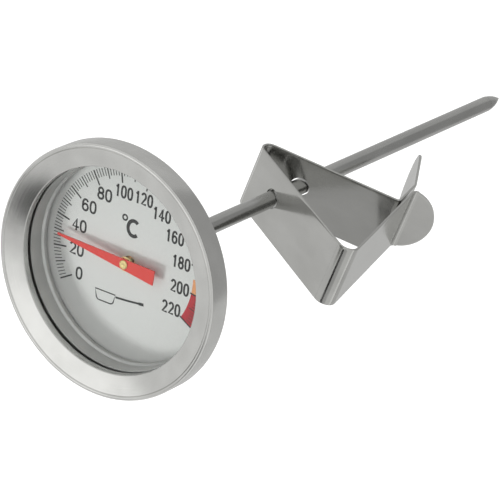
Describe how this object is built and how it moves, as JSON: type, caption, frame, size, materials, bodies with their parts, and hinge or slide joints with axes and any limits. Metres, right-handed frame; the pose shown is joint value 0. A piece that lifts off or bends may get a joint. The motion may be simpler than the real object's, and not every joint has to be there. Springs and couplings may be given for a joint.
{
  "type": "dial thermometer",
  "caption": "Round-dial stem thermometer, 0 to 220 degrees C, with a pointed steel probe, a turning red pointer and a sprung sheet-metal clip that grips a pan's rim.",
  "frame": {"origin": "middle of the clip's grip, where the pan's rim is held between the front leaf and the rear leaf", "axes": "+Z runs along the stem from its point to the dial, +Y from the pan's wall to the stem, X across the clip's strip"},
  "size_m": [0.052, 0.052, 0.1515],
  "materials": {
    "clip_steel": "mirror-polished sheet",
    "bezel_steel": "polished pressing with fine turned lines",
    "stem_steel": "satin ground tube",
    "case_steel": "satin deep-drawn sheet",
    "spacer_metal": "satin",
    "inner_steel": "plain turned",
    "brass": "plain turned",
    "bimetal": "rolled strip",
    "glass": "clear flat glass",
    "dial_white": "matt white print",
    "pointer_red": "satin red paint",
    "rubber": "matt black"
  },
  "bodies": {
    "clip": {"clip_frame": "clip_steel"},
    "jaw": {"clip_jaw": "clip_steel"},
    "stem": {"stem_tube": "stem_steel", "stem_tip": "stem_steel"},
    "head": {"stem_collar": "stem_steel", "case_cup": "case_steel", "bezel_ring": "bezel_steel", "glass_gasket": "rubber", "dial_glass": "glass", "spacer_ring": "spacer_metal", "dial_plate": "dial_white", "dial_carrier": "case_steel", "upper_bush": "brass", "middle_guide": "brass", "lower_guide": "brass", "bimetal_coil": "bimetal", "coil_foot": "brass"},
    "pointer": {"spindle": "inner_steel", "coil_sleeve": "brass", "pointer_needle": "pointer_red", "pointer_boss": "brass"}
  },
  "joints": [
    {"name": "jaw_open", "type": "hinge", "parent": "clip", "child": "jaw", "pos_m": [0, -0.00429, 0.02887], "axis": [-1, 0, 0], "range_deg": [0, 10], "stiffness_Nm_per_rad": 0.3},
    {"name": "stem_slide", "type": "slide", "parent": "clip", "child": "stem", "axis": [0, 0, 1], "range_m": [-0.036, 0.07]},
    {"name": "dial_turn", "type": "hinge", "parent": "stem", "child": "head", "pos_m": [0.0005, 0.0187, 0.0795], "axis": [0, 0, 1], "continuous": true},
    {"name": "pointer_turn", "type": "hinge", "parent": "head", "child": "pointer", "pos_m": [0.0005, 0.0187, 0.0795], "axis": [0, 0, -1], "range_deg": [-34.8, 205.2], "stiffness_Nm_per_rad": 0.0005}
  ]
}
